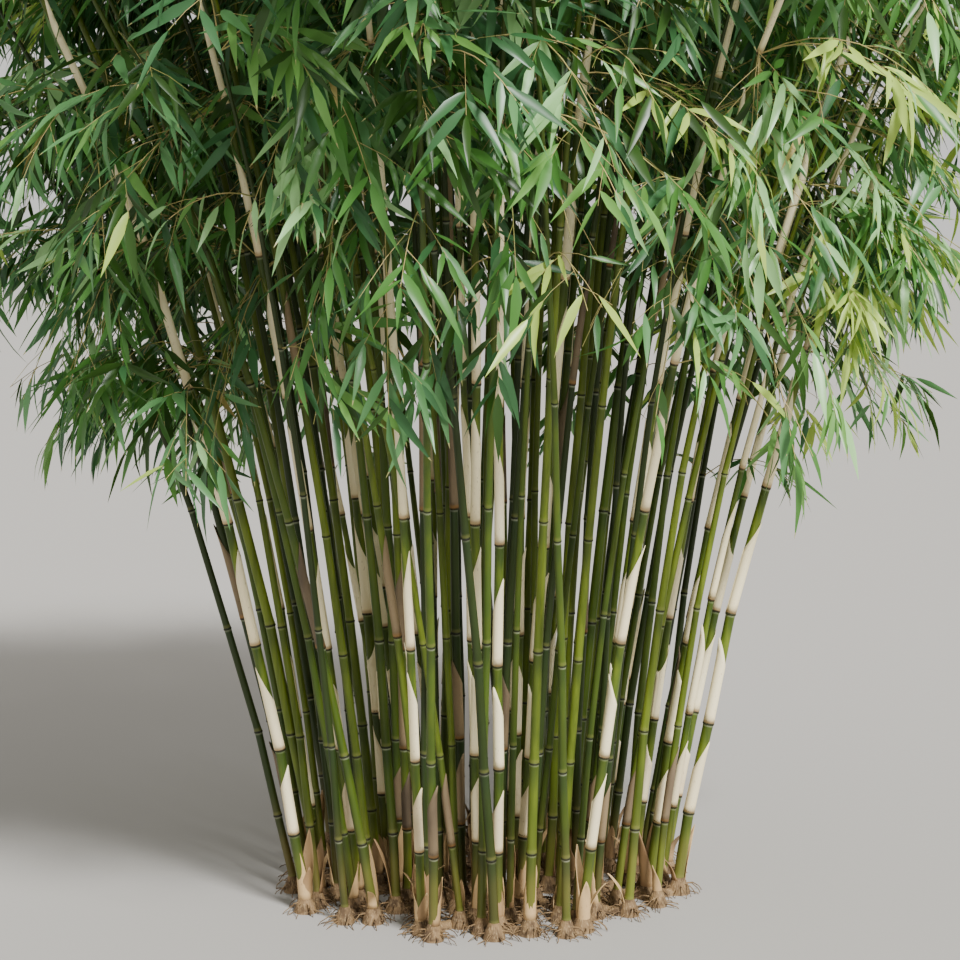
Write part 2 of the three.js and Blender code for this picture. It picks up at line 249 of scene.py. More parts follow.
slender_canes = []
for number, place in enumerate(SLENDER_PLACES):
    if len(slender_canes) == SLENDER_COUNT:
        break
    for attempt in range(SLENDER_TRIES):
        seed = SLENDER_SEED + SLENDER_TRIES * number + attempt
        joints, spread = grow_cane(place, seed, SLENDER_LENGTHS, SLENDER_RADII, SLENDER_LOOSENESS)
        joints = kinked(joints, seed)
        if clear_of(joints, main_canes + slender_canes):
            slender_canes.append(Cane(joints, spread, number % YOUNG_SLENDER_STEP == 0))
            break

# The culms, or bare canes. Each is a smooth tapering tube of woody grass with a ridge at every joint: a
# thin dark scar where its sheath was held, a low swelling above it, and a thin line of wax below it.
# A station of the ridge is its distance from the joint and its swelling, in radii, and its scar.
RIDGE_PROFILE = (
    (-2.2, 0.0, 0.0),
    (-0.6, 0.02, 0.0),
    (-0.26, 0.06, 0.0),
    (-0.18, 0.17, 1.0),
    (0.12, 0.16, 1.0),
    (0.22, 0.04, 0.4),
    (0.45, 0.1, 0.0),
    (0.85, 0.04, 0.0),
    (1.8, 0.0, 0.0),
)
MIDDLE_SHARES = (0.36, 0.68)
CULM_SIDES = 16
SLENDER_SIDES = 10
CULM_SEED = 900
CANE_TONE_SHARE = 0.7
CULM_READINGS = ("girth", "above_joint", "below_joint", "scar", "tone", "cane_height")
FINISH_ORDER = (0, 1, 2, 0, 3, 0, 0, 2, 1, 3, 1)

# The bands beside a joint begin, are full, fade and end at these distances from it, in metres. The tan
# foot, and the painted shade that darkens the green near the foot and high up, fade between two
# heights.
WAX_BAND = (0.0013, 0.0019, 0.0028, 0.0055)
DUSK_BAND = (0.003, 0.006, 0.014, 0.05)
SWELL_BAND = (0.0012, 0.0024, 0.004, 0.009)
TAN_FOOT = (0.04, 0.2)
PAINTED_SHADE_BOTTOM = (0.12, 0.55)
PAINTED_SHADE_TOP = (0.6, 1.15)

OLIVE = 0x546419
YELLOW_GREEN = 0x748422
LEAF_GREEN = 0x435A1B
DARK_GREEN = 0x28360F
BLUE_GREEN = 0x2F3D1B
DUSKY_GREEN = 0x24361A
SCAR_BROWN = 0x18140C
SWELL_TAN = 0x858246
WAX = 0xB0B69C
FOOT_TAN = 0x8F7B46
CULM_SHINE = 0.32


def paint(code):
    """A colour from its six-digit code, as the linear values that a shader takes."""
    channels = [(code >> shift & 255) / 255 for shift in (16, 8, 0)]
    return (*(c / 12.92 if c <= 0.04045 else ((c + 0.055) / 1.055) ** 2.4 for c in channels), 1.0)


class Wire:
    """A socket of a node tree. Sums of wires and numbers add Math nodes to the tree."""

    def __init__(self, tree, socket=None):
        self.tree = tree
        self.socket = socket

    def node(self, kind, settings=None, inputs=None, output=0):
        """Adds a node: first its settings, then the values or wires of its sockets."""
        made = self.tree.nodes.new(kind)
        for name, value in (settings or {}).items():
            setattr(made, name, value)
        feed(made, inputs or {})
        return Wire(self.tree, made.outputs[output] if made.outputs else None)

    def maths(self, operation, *values):
        return self.node("ShaderNodeMath", {"operation": operation}, dict(enumerate(values)))

    def __add__(self, other):
        return self.maths("ADD", self, other)

    __radd__ = __add__

    def __sub__(self, other):
        return self.maths("SUBTRACT", self, other)

    def __rsub__(self, other):
        return self.maths("SUBTRACT", other, self)

    def __mul__(self, other):
        return self.maths("MULTIPLY", self, other)

    __rmul__ = __mul__

    def between(self, low, high):
        """Rises smoothly from 0 at low to 1 at high."""
        settings = {"interpolation_type": "SMOOTHSTEP"}
        return self.node("ShaderNodeMapRange", settings, {0: self, 1: low, 2: high})

    def band(self, start, full, fading, end):
        """Rises to 1 from its start, and falls to 0 again at its end."""
        return self.between(start, full) * (1 - self.between(fading, end))

    def blend(self, share, first, second):
        inputs = {0: share, 6: first, 7: second}
        return self.node("ShaderNodeMix", {"data_type": "RGBA"}, inputs, output=2)

    def towards(self, share, code):
        """This colour, drawn towards another by a share."""
        return self.blend(share, self, paint(code))

    def flat(self, code):
        """A plain colour as a wire."""
        return self.blend(0.0, paint(code), paint(code))

    def noise(self, stretch, detail=3.0):
        """Cloudy noise from 0 to 1 on this vector, with a scale for each axis."""
        place = self.node("ShaderNodeMapping", None, {"Vector": self, "Scale": stretch})
        inputs = {"Vector": place, "Scale": 1.0, "Detail": detail}
        return self.node("ShaderNodeTexNoise", {"normalize": True}, inputs)

    def bump(self, strength, distance):
        """The relief of this height, for a shader's normal."""
        inputs = {"Strength": strength, "Distance": distance, "Height": self}
        return self.node("ShaderNodeBump", None, inputs)

    def place(self):
        """Where each point lies on its piece."""
        return self.node("ShaderNodeTexCoord", output="Object")

    def attribute(self, name):
        return self.node("ShaderNodeAttribute", {"attribute_name": name}, output="Fac")

    def given(self, name):
        """An input of a Geometry Nodes tree."""
        return self.node("NodeGroupInput", output=name)

    def stored(self, name, kind):
        """A named attribute of the guide that a Geometry Nodes tree grows on."""
        return self.node("GeometryNodeInputNamedAttribute", {"data_type": kind}, {"Name": name})


def feed(node, sockets):
    """Sets or links the sockets of a node."""
    for name, value in sockets.items():
        if isinstance(value, Wire):
            value.tree.links.new(value.socket, node.inputs[name])
        else:
            node.inputs[name].default_value = value


def new_material(name):
    """A material, its open wire, and its main shader."""
    material = bpy.data.materials.new(name)
    material.use_nodes = True
    return material, Wire(material.node_tree), material.node_tree.nodes["Principled BSDF"]


def culm_material(name, main, second, bloom):
    """Satin living cane: two greens in long streaks, dark scars with a thin line of wax, a tan foot."""
    material, wire, shader = new_material(name)
    place = wire.place()
    streaks = place.noise((110, 110, 3)).between(0.35, 0.68)
    blotches = place.noise((16, 16, 5)).between(0.42, 0.7)
    grain = place.noise((900, 900, 12), detail=2.0)
    tone = wire.attribute("tone")
    scar = wire.attribute("scar")
    height = wire.attribute("cane_height")
    below = wire.attribute("below_joint")
    wax = below.band(*WAX_BAND)
    dusk = below.band(*DUSK_BAND)
    swell = wire.attribute("above_joint").band(*SWELL_BAND)
    foot = 1 - height.between(*TAN_FOOT)
    painted_low_shade = 1 - height.between(*PAINTED_SHADE_BOTTOM)
    painted_high_shade = height.between(*PAINTED_SHADE_TOP)
    colour = wire.flat(main).towards(streaks * 0.65 + tone * 0.35, second)
    # Painted shade darkens the green near the foot and high up under the crown; the blotches are the
    # cane's own darker patches.
    colour = colour.towards(blotches * 0.38 + painted_high_shade * 0.4 + painted_low_shade * 0.3, DARK_GREEN)
    colour = colour.towards(foot * (0.15 + blotches * 0.3), FOOT_TAN)
    colour = colour.towards(dusk * (0.35 + 0.3 * bloom), DUSKY_GREEN)
    colour = colour.towards(swell * 0.3, SWELL_TAN)
    colour = colour.towards(wax * (tone * 0.4 + 0.25 * bloom), WAX)
    sockets = {
        "Base Color": colour.towards(scar * 0.9, SCAR_BROWN),
        "Roughness": 0.34 + blotches * 0.14 + wax * 0.3 + scar * 0.2,
        "Specular IOR Level": CULM_SHINE,
        "Normal": (grain + blotches * 0.3).bump(0.12, 0.0006),
    }
    feed(shader, sockets)
    return material


def new_tree(name, inputs):
    """The open wire of a Geometry Nodes tree with named inputs, each given with its kind of socket."""
    tree = bpy.data.node_groups.new(name, "GeometryNodeTree")
    for label, kind in {"Geometry": "Geometry", **inputs, "Material": "Material"}.items():
        tree.interface.new_socket(label, in_out="INPUT", socket_type=f"NodeSocket{kind}")
    tree.interface.new_socket("Geometry", in_out="OUTPUT", socket_type="NodeSocketGeometry")
    return Wire(tree)


def closed_tree(wire, shape):
    """The finished tree: its shape is made real and gets its material."""
    real = wire.node("GeometryNodeRealizeInstances", None, {"Geometry": shape})
    finish = {"Geometry": real, "Material": wire.given("Material")}
    painted = wire.node("GeometryNodeSetMaterial", None, finish)
    wire.node("NodeGroupOutput", None, {"Geometry": painted})
    return wire.tree


def tube_tree():
    """Sweeps a round section along each line of points, as wide as its girth says."""
    wire = new_tree("tube", {"Sides": "Int"})
    section = {"Resolution": wire.given("Sides"), "Radius": 1.0}
    sweep = {
        "Curve": wire.node("GeometryNodeMeshToCurve", None, {"Mesh": wire.given("Geometry")}),
        "Profile Curve": wire.node("GeometryNodeCurvePrimitiveCircle", None, section),
        "Scale": wire.stored("girth", "FLOAT"),
        "Fill Caps": True,
    }
    swept = wire.node("GeometryNodeCurveToMesh", None, sweep)
    return closed_tree(wire, wire.node("GeometryNodeSetShadeSmooth", None, {"Geometry": swept}))


def set_attributes(mesh, attributes):
    """Stores named numbers or vectors on the points of a mesh, for a tree or a material to read."""
    for label, values in attributes.items():
        array = np.array(values)
        kind = "INT" if array.dtype.kind == "i" else "FLOAT"
        key = "value"
        if array.ndim == 2:
            kind, key = "FLOAT_VECTOR", "vector"
        mesh.attributes.new(label, kind, "POINT").data.foreach_set(key, array.ravel())


def guide_mesh(points, edges, attributes):
    """A mesh of bare points and edges, whose attributes steer a Geometry Nodes tree."""
    mesh = bpy.data.meshes.new("guide")
    mesh.from_pydata([tuple(point) for point in points], edges, [])
    set_attributes(mesh, attributes)
    return mesh


def lines_guide(lines, labels=("girth",)):
    """The guide of separate lines. Each of their stations is a point and a value for each label."""
    stations = []
    edges = []
    for line in lines:
        edges += [(k, k + 1) for k in range(len(stations), len(stations) + len(line) - 1)]
        stations += line
    points, *values = zip(*stations)
    return guide_mesh(points, edges, dict(zip(labels, values)))


def grown_piece(name, guide, tree, inputs):
    """Runs a Geometry Nodes tree on a guide mesh, and keeps the result as a plain mesh object."""
    piece = put_in_scene(name, guide)
    modifier = piece.modifiers.new("grow", "NODES")
    modifier.node_group = tree
    for item in tree.interface.items_tree:
        if item.in_out == "INPUT" and item.name in inputs:
            modifier[item.identifier] = inputs[item.name]
    depsgraph = bpy.context.evaluated_depsgraph_get()
    grown = piece.evaluated_get(depsgraph)
    mesh = bpy.data.meshes.new_from_object(grown, preserve_all_data_layers=True, depsgraph=depsgraph)
    piece.modifiers.clear()
    piece.data = mesh
    bpy.data.meshes.remove(guide)
    return piece


def culm_line(cane, dice):
    """The stations of a culm. Each has its girth, its ways to the joints, its scar, tone and height."""
    cane_tone = dice.draw()
    line = []
    for low, high in pairwise(cane.joints):
        length = (high.point - low.point).length
        tone = mix(dice.draw(), cane_tone, CANE_TONE_SHARE)
        steps = [(share * length, 0, 0) for share in MIDDLE_SHARES]
        for offset, swell, scar in RIDGE_PROFILE:
            along = offset * low.radius if offset > 0 else length + offset * high.radius
            steps.append((along, swell, scar))
        for along, swell, scar in sorted(steps):
            share = along / length
            if 0 < share < 1:
                point, radius = part_way(low, high, share)
                line.append((point, radius * (1 + swell), along, length - along, scar, tone, point.z))
    return line


tube = tube_tree()


def swept(name, guide, sides, finish):
    """One piece of round tubes along the lines of a guide."""
    return grown_piece(name, guide, tube, {"Sides": sides, "Material": finish})


def culm_piece(name, canes, seed, sides, finish):
    """One or more culms as one piece."""
    dice = Dice(seed)
    guide = lines_guide([culm_line(cane, dice) for cane in canes], CULM_READINGS)
    return swept(name, guide, sides, finish)


def settle(piece, slot, *nodes):
    """Attaches a finished piece to the root body and hides the solids that it stands for. Its slot is
    not used.
    """
    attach(piece, "root")
    if nodes:
        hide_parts(*nodes)


old_finishes = [
    culm_material("olive_culm", OLIVE, YELLOW_GREEN, 0.2),
    culm_material("leaf_green_culm", LEAF_GREEN, OLIVE, 0.5),
    culm_material("dark_culm", DARK_GREEN, BLUE_GREEN, 0.6),
    culm_material("yellow_green_culm", YELLOW_GREEN, OLIVE, 0.1),
]
young_finish = culm_material("young_culm", LEAF_GREEN, YELLOW_GREEN, 0.4)
for index, cane in enumerate(main_canes):
    label = f"{index + 1:02d}"
    finish = young_finish if cane.young else old_finishes[FINISH_ORDER[index % len(FINISH_ORDER)]]
    culm = culm_piece(f"culm_{label}", [cane], CULM_SEED + index, CULM_SIDES, finish)
    settle(culm, "young_cane" if cane.young else "green_cane", f"cane_{label}")
old_slender = [cane for cane in slender_canes if not cane.young]
young_slender = [cane for cane in slender_canes if cane.young]
for name, canes, finish, slot in (
    ("slender_olive_culms", old_slender[0::3], old_finishes[0], "green_cane"),
    ("slender_green_culms", old_slender[1::3], old_finishes[1], "green_cane"),
    ("slender_dark_culms", old_slender[2::3], old_finishes[2], "green_cane"),
    ("slender_young_culms", young_slender, young_finish, "young_cane"),
):
    settle(culm_piece(name, canes, CULM_SEED, SLENDER_SIDES, finish), slot)

# The sheaths. Every internode of a young cane is still wrapped in the papery sheath that fed it. It is
# cream and finely ribbed, held by an orange-tan ring, and narrows to a point on alternate sides.
SHEATH_COLUMNS = 23
SHEATH_ROWS = 9
SHEATH_WRAP = 1.12 * math.pi
SHEATH_WALL = 0.07
SHEATH_SHARES = (0.72, 0.84)
SHEATH_TURNS = (math.radians(52), math.radians(84))
SHEATH_SEED = 1300
SHEATH_STYLES = ((0.62, 0.75, 0.05), (0.68, 0.7, 0.12), (0.58, 0.85, 0.03), (0.64, 0.65, 0.45))
SHEATH_FIT = 1.02
SHEATH_GAP = 0.0005
RING_HEIGHT = 0.012
RING_WIDTH = 0.014
RING_SWELL = 0.1
OVERLAP = 0.03
NARROWING = 0.04
FLARE_POWER = 8
WORN_HEIGHT = 0.22
SHEATH_AGES = 0.3
LAST_SHEATHED_SHARE = 0.86
CREAM = 0xFFF2C6
STRAW = 0xEAD199
DRY_BROWN = 0x8A6640
RING_TAN = 0xAA7C3E
RING_LINE = 0x46351A


def curled_shell(girth, wall, turn, height, first_rise=0):
    """A closed thin wall curled round a cane, from grids of its girth, its turn and its height. The
    material reads how far up and how far around each point lies."""
    turn, height = np.broadcast_arrays(turn, height)
    rows, columns = height.shape
    count = rows * columns
    at = np.arange(count).reshape(rows, columns)
    quads = np.stack([at[:-1, :-1], at[:-1, 1:], at[1:, 1:], at[1:, :-1]], -1).reshape(-1, 4)
    rim = [*at[0, :], *at[1:, -1], *at[-1, -2::-1], *at[-2:0:-1, 0]]
    sides = [(a, b, b + count, a + count) for a, b in zip(rim, rim[1:] + rim[:1])]
    faces = [*quads.tolist(), *(quads[:, ::-1] + count).tolist(), *sides]
    points = []
    for radius in (girth, girth - wall):
        grid = np.stack([radius * np.cos(turn), radius * np.sin(turn), height], -1)
        points += grid.reshape(-1, 3).tolist()
    mesh = bpy.data.meshes.new("shell")
    mesh.from_pydata(points, [], faces)
    readings = {"rise": first_rise + height, "around": turn}
    set_attributes(mesh, {label: np.tile(values.ravel(), 2) for label, values in readings.items()})
    work = bmesh.new()
    work.from_mesh(mesh)
    bmesh.ops.recalc_face_normals(work, faces=work.faces)
    work.to_mesh(mesh)
    work.free()
    mesh.shade_smooth()
    return mesh


def sheath_pattern(crossing, taper, flare):
    """A sheath of unit girth and height. Its margins cross at a share of its height, opposite the tip,
    so that from the side it looks like the blade of a knife."""
    turn = np.linspace(-SHEATH_WRAP, SHEATH_WRAP, SHEATH_COLUMNS)[None, :]
    rise = np.linspace(0, 1, SHEATH_ROWS)[:, None]
    width = (1 - np.cos(np.minimum(np.abs(turn), math.pi))) / 2
    height = rise * (1 - (1 - crossing) * width**taper)
    ring = np.exp(-(((height - RING_HEIGHT) / RING_WIDTH) ** 2))
    girth = 1 + RING_SWELL * ring + OVERLAP * turn / math.pi - NARROWING * height
    return curled_shell(girth + flare * height**FLARE_POWER, SHEATH_WALL, turn, height)


def pattern_collection(name, make, styles):
    """The shapes that a scatter tree picks from, one for each style, in the order of their names."""
    collection = bpy.data.collections.new(name)
    for number, style in enumerate(styles):
        collection.objects.link(bpy.data.objects.new(f"{name}_{number}", make(*style)))
    return collection


def scatter_tree():
    """Puts a pattern on each point: its length along one vector, its face towards another."""
    wire = new_tree("scatter", {"Patterns": "Collection"})
    picks = {"Collection": wire.given("Patterns"), "Separate Children": True, "Reset Children": True}
    axes = {
        "Primary Axis": wire.stored("along", "FLOAT_VECTOR"),
        "Secondary Axis": wire.stored("faces", "FLOAT_VECTOR"),
    }
    turning = {"primary_axis": "Z", "secondary_axis": "X"}
    placing = {
        "Points": wire.given("Geometry"),
        "Instance": wire.node("GeometryNodeCollectionInfo", None, picks),
        "Pick Instance": True,
        "Instance Index": wire.stored("pattern", "INT"),
        "Rotation": wire.node("FunctionNodeAxesToRotation", turning, axes),
        "Scale": wire.stored("size", "FLOAT_VECTOR"),
    }
    return closed_tree(wire, wire.node("GeometryNodeInstanceOnPoints", None, placing))


Spot = namedtuple("Spot", "point along faces size pattern age")


def scattered(name, spots, patterns, material):
    """One joined piece with a pattern at every spot."""
    points, *values = zip(*spots)
    guide = guide_mesh(points, [], dict(zip(Spot._fields[1:], values)))
    return grown_piece(name, guide, scatter, {"Patterns": patterns, "Material": material})


def papery_material(name, fresh, straw, dry):
    """Papery sheath: from fresh to dry by its age, finely ribbed, with a tan ring at its base."""
    material, wire, shader = new_material(name)
    rise = wire.attribute("rise")
    age = wire.attribute("age")
    place = wire.place()
    lengthwise = {"X": wire.attribute("around") * 6, "Y": rise * 1.4, "Z": age * 40}
    ribs = wire.node("ShaderNodeCombineXYZ", None, lengthwise).noise((5, 1, 1), detail=4.0)
    clouds = place.noise((22, 22, 9)).between(0.4, 0.75)
    specks = place.noise((420, 420, 160), detail=1.0).between(0.68, 0.76)
    line = 1 - rise.between(0.008, 0.016)
    ring = 1 - rise.between(0.02, 0.06)
    blush = 1 - rise.between(0.04, 0.25)
    colour = wire.flat(fresh).towards(ribs.between(0.4, 0.8) * 0.25, straw)
    colour = colour.towards(age.between(0.25, 1.0) * (0.55 + clouds * 0.45), dry)
    colour = colour.towards(blush * 0.3 + clouds * 0.08, straw)
    colour = colour.towards(specks * 0.35, dry)
    colour = colour.towards(ring * 0.6, RING_TAN).towards(line * 0.85, RING_LINE)
    roughness = 0.55 + clouds * 0.15
    feed(shader, {"Base Color": colour, "Roughness": roughness, "Normal": ribs.bump(0.35, 0.0004)})
    return material


def sheath_spots(cane, dice):
    """A sheath at each joint from the first above the foot to near the tip. Their points lie left and
    right by turns, a little towards the outside of the clump."""
    spots = []
    facing = math.copysign(math.pi / 2, cane.joints[0].point.y)
    last = round(LAST_SHEATHED_SHARE * (len(cane.joints) - 1))
    for number, (low, high) in enumerate(pairwise(cane.joints[1 : last + 1]), 1):
        step = high.point - low.point
        side = facing + by_turns(number) * dice.between(*SHEATH_TURNS)
        girth = low.radius * SHEATH_FIT + SHEATH_GAP
        length = step.length * dice.between(*SHEATH_SHARES)
        worn = max(0.0, 1 - low.point.z / WORN_HEIGHT)
        age = min(1.0, worn + SHEATH_AGES * dice.draw())
        style = int(dice.draw() * len(SHEATH_STYLES))
        size = (girth, girth, length)
        spots.append(Spot(low.point, step.normalized(), polar(1, side, 0), size, style, age))
    return spots


scatter = scatter_tree()
sheath_shapes = pattern_collection("sheath_pattern", sheath_pattern, SHEATH_STYLES)
papery = papery_material("papery_sheath", CREAM, STRAW, DRY_BROWN)
for index, cane in enumerate(main_canes):
    if cane.young:
        spots = sheath_spots(cane, Dice(SHEATH_SEED + index))
        settle(scattered(f"sheaths_{index + 1:02d}", spots, sheath_shapes, papery), "young_cane")
slender_spots = []
for index, cane in enumerate(slender_canes):
    if cane.young:
        slender_spots += sheath_spots(cane, Dice(SHEATH_SEED + CANE_COUNT + index))
settle(scattered("slender_sheaths", slender_spots, sheath_shapes, papery), "young_cane")

# The root crown. Under each cane sits a short ringed knuckle of woody rhizome, and a neck as thick as a
# thumb ties it to the next. The ground hides the rest, so it is cut off flat at ground level.
KNUCKLE_PROFILE = (
    (0.0, 0.0208),
    (0.004, 0.0212),
    (0.006, 0.0198),
    (0.010, 0.0192),
    (0.0115, 0.0178),
    (0.0155, 0.0166),
    (0.017, 0.0148),
    (0.021, 0.0136),
    (0.0225, 0.0122),
    (0.0262, 0.0108),
)
KNUCKLE_SIDES = 20
NECK_RADIUS = 0.014
NECK_RING_SPACING = 0.009
NECK_RING_DEPTH = 0.1
NECK_WAIST = 0.8
SLIMMEST_KNUCKLE = 0.72
RHIZOME_TAN = 0x7D6341
RHIZOME_BROWN = 0x3F2E1D
RHIZOME_PALE = 0xA8906A
ROOTLETS_PER_FOOT = 16
ROOTLET_HEIGHTS = (0.003, 0.017)
ROOTLET_REACHES = (0.024, 0.046)
ROOTLET_BEND = 0.35
ROOTLET_START = 0.011
KNUCKLE_EDGE = 0.014
ROOTLET_DEPTH = 0.002
ROOTLET_RADII = (0.0012, 0.0005)
ROOTLET_SIDES = 4
ROOTLET_SEED = 1500


def rhizome_material():
    """Dry fibrous rhizome: tan, darker in patches, with fibres along it."""
    material, wire, shader = new_material("rhizome")
    place = wire.place()
    fibres = place.noise((420, 420, 90), detail=5.0)
    patches = place.noise((70, 70, 70)).between(0.38, 0.66)
    colour = wire.flat(RHIZOME_TAN).towards(patches * 0.8, RHIZOME_BROWN)
    colour = colour.towards(fibres.between(0.5, 0.72) * 0.6, RHIZOME_PALE)
    roughness = 0.75 + patches * 0.15
    feed(shader, {"Base Color": colour, "Roughness": roughness, "Normal": fibres.bump(0.9, 0.002)})
    return material


def rhizome_lines(feet, radii):
    """The stations of all knuckles and necks. A knuckle is as stout as its cane."""
    lines = []
    for foot, radius in zip(feet, radii):
        stoutness = max(SLIMMEST_KNUCKLE, radius / FOOT_RADII[1])
        lines.append([(at_level(foot, height), girth * stoutness) for height, girth in KNUCKLE_PROFILE])
    for index in range(1, len(feet)):
        end = at_level(feet[index])
        start = at_level(min(feet[:index], key=lambda other: (other - feet[index]).length))
        steps = 2 * round((end - start).length / NECK_RING_SPACING)
        line = []
        for step in range(steps + 1):
            ring = NECK_RING_DEPTH if step % 2 else 0
            waist = NECK_WAIST + (1 - NECK_WAIST) * abs(2 * step / steps - 1)
            line.append((start.lerp(end, step / steps), NECK_RADIUS * waist * (1 - ring)))
        lines.append(line)
    return lines


def cut_at_ground(piece):
    """Cuts a mesh off flat at ground level, and closes the cut."""
    work = bmesh.new()
    work.from_mesh(piece.data)
    everything = [*work.verts, *work.edges, *work.faces]
    cut = bmesh.ops.bisect_plane(
        work, geom=everything, plane_co=(0, 0, 0), plane_no=(0, 0, 1), clear_inner=True
    )
    rim = [item for item in cut["geom_cut"] if isinstance(item, bmesh.types.BMEdge)]
    bmesh.ops.holes_fill(work, edges=rim, sides=0)
    work.to_mesh(piece.data)
    work.free()


def tapering(line, root_radius, tip_radius):
    """The stations of a line that thins evenly from its root to its tip."""
    return [(point, mix(root_radius, tip_radius, k / (len(line) - 1))) for k, point in enumerate(line)]


def rootlets_of(feet):
    """Wiry rootlets that leave each knuckle low down, and bend into the ground."""
    dice = Dice(ROOTLET_SEED)
    lines = []
    for foot in feet:
        for number in range(ROOTLETS_PER_FOOT):
            azimuth = number * GOLDEN_ANGLE + dice.between(0, 1)
            height = dice.between(*ROOTLET_HEIGHTS)
            reach = dice.between(*ROOTLET_REACHES)
            bend = dice.between(-ROOTLET_BEND, ROOTLET_BEND)
            steps = (
                polar(ROOTLET_START, azimuth, height),
                polar(mix(KNUCKLE_EDGE, reach, 0.35), azimuth + 0.4 * bend, height),
                polar(mix(KNUCKLE_EDGE, reach, 0.8), azimuth + bend, height * 0.45),
                polar(reach, azimuth + 0.8 * bend, -ROOTLET_DEPTH),
            )
            lines.append(tapering([at_level(foot) + step for step in steps], *ROOTLET_RADII))
    return lines


all_canes = main_canes + slender_canes
feet = [cane.joints[0].point for cane in all_canes]
foot_radii = [cane.joints[0].radius for cane in all_canes]
fibrous = rhizome_material()
for name, lines, sides in (
    ("rhizomes", rhizome_lines(feet, foot_radii), KNUCKLE_SIDES),
    ("rootlets", rootlets_of(feet), ROOTLET_SIDES),
):
    crown = swept(name, lines_guide(lines), sides, fibrous)
    cut_at_ground(crown)
    settle(crown, "root_crown", "root_crown")

# The dry bracts. Round each foot stand the withered lowest sheaths, long-pointed and tan to brown. Most
# still hug their cane, and some have split off it and lean out.
BRACT_SHAPES = ((2.3, 0.1), (1.7, 0.6), (2.7, 0.3), (1.2, 3.0), (0.9, 5.5))
HUGGING_SHAPES = 3
BRACT_HEIGHTS = (0.045, 0.12)
BRACT_FOOTINGS = (0.012, 0.026)
BRACT_GIRTHS = (0.95, 1.2)
BRACT_LEANS = (0.0, 0.08)
LOOSE_SHARE = 0.3
GREEN_FOOT_BRACTS = (0, 1.5)
YOUNG_FOOT_BRACTS = (2, 3)
BRACT_SEED = 1700
BRACT_WALL = 0.08
BRACT_PALE = 0xC9A877
BRACT_TAN = 0xA98257
BRACT_BROWN = 0x684629


def bract_pattern(half_turn, splay):
    """A withered sheath of unit girth and height that parts from its cane towards the tip."""
    side = np.linspace(-1, 1, 11)[None, :]
    rise = np.linspace(0, 1, 9)[:, None]
    turn = side * (half_turn * (1 - rise) ** 0.8 + 0.03) / (1 + 0.6 * splay * rise**2)
    girth = 1.25 + splay * rise**2.2 + 0.12 * np.sin(7 * rise + 2.5 * side) * rise
    height = rise * (1 - 0.05 * splay * rise)
    return curled_shell(girth, BRACT_WALL, turn, height, first_rise=0.1)


bract_shapes = pattern_collection("bract_pattern", bract_pattern, BRACT_SHAPES)
bracts = []
dice = Dice(BRACT_SEED)
for cane in all_canes:
    foot = cane.joints[0]
    first = dice.between(0, 2 * math.pi)
    count = dice.between(*(YOUNG_FOOT_BRACTS if cane.young else GREEN_FOOT_BRACTS))
    for number in range(round(count)):
        azimuth = first + number * GOLDEN_ANGLE
        girth = foot.radius * dice.between(*BRACT_GIRTHS)
        point = at_level(foot.point, dice.between(*BRACT_FOOTINGS))
        lean = UP + polar(dice.between(*BRACT_LEANS), azimuth, 0)
        size = (girth, girth, dice.between(*BRACT_HEIGHTS))
        pattern = int(dice.draw() * HUGGING_SHAPES)
        if dice.draw() < LOOSE_SHARE:
            pattern = HUGGING_SHAPES + int(dice.draw() * (len(BRACT_SHAPES) - HUGGING_SHAPES))
        bracts.append(Spot(point, lean, polar(1, azimuth, 0), size, pattern, dice.draw()))
withered = papery_material("withered_bract", BRACT_PALE, BRACT_TAN, BRACT_BROWN)
settle(scattered("dry_bracts", bracts, bract_shapes, withered), "young_cane")

# The old sheaths. A few brown ones from last year still cling to the lower joints of green canes. They
# have the form of the fresh ones, and have weathered from tan to grey and dark brown.
OLD_SHEATH_SHARE = 0.11
OLD_SHEATH_TOP = 1.15
OLD_SHEATH_AGES = (0.3, 1)
OLD_TAN = 0x927D5C
OLD_GREY = 0x64553F
OLD_BROWN = 0x41352A

old_spots = []
for cane in all_canes:
    if cane.young:
        continue
    for spot in sheath_spots(cane, dice):
        if spot.point.z < OLD_SHEATH_TOP and dice.draw() < OLD_SHEATH_SHARE:
            old_spots.append(spot._replace(age=dice.between(*OLD_SHEATH_AGES)))
old_paper = papery_material("old_sheath", OLD_TAN, OLD_GREY, OLD_BROWN)
settle(scattered("old_sheaths", old_spots, sheath_shapes, old_paper), "green_cane")

# The branches. From knee height up, each joint sends out a few wiry straw-coloured branches on
# alternate sides. They arch over and hang, and carry thin twigs with a fan of leaves at the end.
CROWN_BOTTOM = 0.6
LOWEST_REACH = 0.68
WIDEST_HEIGHT = 1.85
WIDEST_REACH = 1.22
CROWN_TOP = 2.76
VASE_POWER = 1.3
BOX_MARGIN = 0.03
# A tier of foliage has its number of masses, their distance from the middle, their height and a turn.
TIERS = (
    ("skirt", 7, 0.59, 0.9, 0.25),
    ("shoulder", 6, 0.75, 1.36, 0.75),
    ("canopy", 6, 0.83, 1.86, 0.3),
    ("top", 3, 0.43, 2.28, 0.6),
    ("crest", 1, 0.0, 2.48, 0.0),
)
BRANCH_SEED = 71
FIRST_LEAFY = (1.34, 1.2)
FIRST_LEAFY_JITTER = 0.12
LEFT_DROP = 0.54
RIGHT_DROP = 0.4
BACK_DROP = 0.34
LOWEST_BRANCHES = 1
FILLING_HEIGHT = 0.5
FLANK_FILLING_HEIGHT = 0.35
BRANCHES_PER_JOINT = (2, 5)
INNER_REACH = 0.3
INNER_BOTTOM = 1.5
INWARD_SHARE = 0.2
BRANCH_ROOTING = 0.8
BRANCH_TURNS = (0.2, 1.2)
HEADING_JITTER = 0.5
BRANCH_LENGTHS = (0.22, 0.46)
